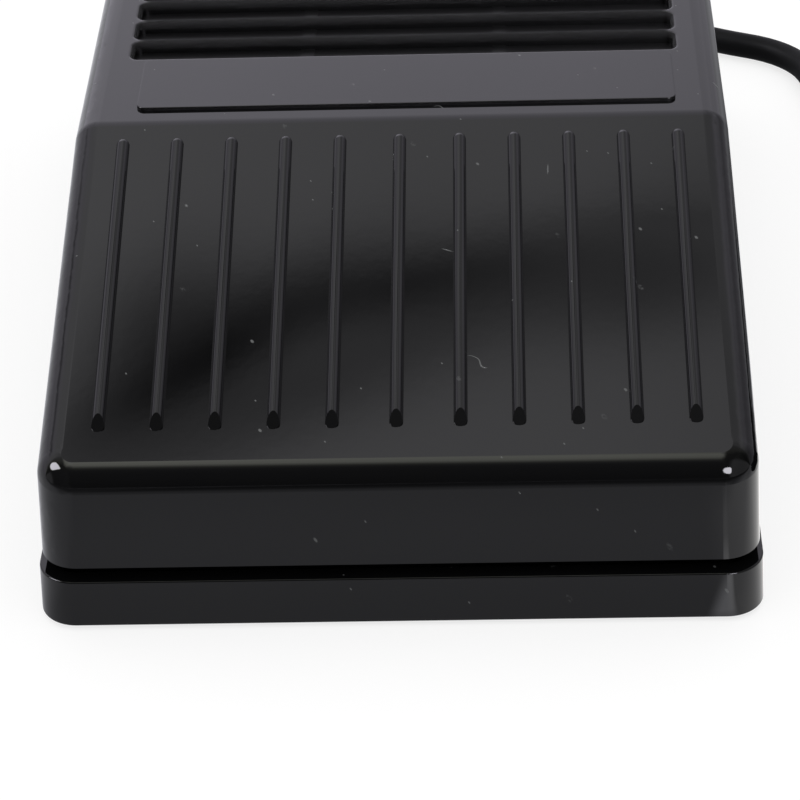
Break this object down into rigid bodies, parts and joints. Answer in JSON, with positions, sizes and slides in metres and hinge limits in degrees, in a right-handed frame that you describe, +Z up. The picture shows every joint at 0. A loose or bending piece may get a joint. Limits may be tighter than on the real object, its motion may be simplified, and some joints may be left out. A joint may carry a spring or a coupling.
{
  "type": "corded foot switch pedal",
  "caption": "Low rectangular foot switch: a sloping hinged pedal cover with grip ribs and rear grooves over a shallow base tray, with a thin cord that ends in a plug.",
  "frame": {"origin": "on the surface that the rubber feet stand on, under the middle of the body", "axes": "+Z up; +X to the right of a person whose foot is on the pedal; +Y to the rear, the hinge and the cord exit; -Y is the front edge that the foot presses"},
  "size_m": [0.1422, 0.1254, 0.03],
  "materials": {
    "base_plastic": "gloss black",
    "cover_plastic": "gloss black",
    "label_film": "dark grey film",
    "soft_rubber": "black rubber",
    "pin_steel": "ground",
    "spring_steel": "drawn wire",
    "screw_steel": "zinc plated",
    "board_laminate": "green solder mask",
    "black_moulding": "satin black",
    "lead_tin": "tinned",
    "can_steel": "satin",
    "capacitor_sleeve": "dark blue sleeve",
    "ceramic_tan": "fired",
    "resistor_black": "matt",
    "connector_nylon": "off-white",
    "contact_gold": "gold plated",
    "wire_red": "matt",
    "wire_white": "matt",
    "wire_green": "matt",
    "wire_black": "matt",
    "cord_jacket": "satin black",
    "grip_moulding": "satin black",
    "shell_steel": "nickel plated",
    "tongue_plastic": "off-white"
  },
  "bodies": {
    "base": {"base_tray": "base_plastic", "rubber_feet": "soft_rubber", "hinge_pin": "pin_steel", "stop_bumpers": "soft_rubber", "circuit_board": "board_laminate", "board_screws": "screw_steel", "sensor_housing": "black_moulding", "sensor_leads": "lead_tin", "controller_chip": "black_moulding", "chip_leads": "lead_tin", "crystal_can": "can_steel", "electrolytic_capacitor": "capacitor_sleeve", "ceramic_capacitors": "ceramic_tan", "chip_resistors": "resistor_black", "board_header": "connector_nylon", "header_pins": "contact_gold", "cable_socket": "connector_nylon", "wire_red": "wire_red", "wire_white": "wire_white", "wire_green": "wire_green", "wire_black": "wire_black", "strain_relief": "cord_jacket", "inner_cable": "cord_jacket", "cable_clamp": "black_moulding", "clamp_screws": "screw_steel", "spring_left": "spring_steel", "spring_right": "spring_steel", "cord_lead": "cord_jacket", "cord_coil": "cord_jacket", "cord_tail": "cord_jacket", "plug_grip": "grip_moulding", "plug_shell": "shell_steel", "plug_tongue": "tongue_plastic", "plug_contacts": "contact_gold"},
    "cover": {"pedal_cover": "cover_plastic", "label_plate": "label_film"}
  },
  "joints": [
    {"name": "pedal_press", "type": "hinge", "parent": "base", "child": "cover", "pos_m": [0, 0.0415, 0.011], "axis": [1, 0, 0], "range_deg": [0, 0.72], "stiffness_Nm_per_rad": 22, "springref_deg": -1.6, "deforming": ["spring_left", "spring_right"]}
  ]
}
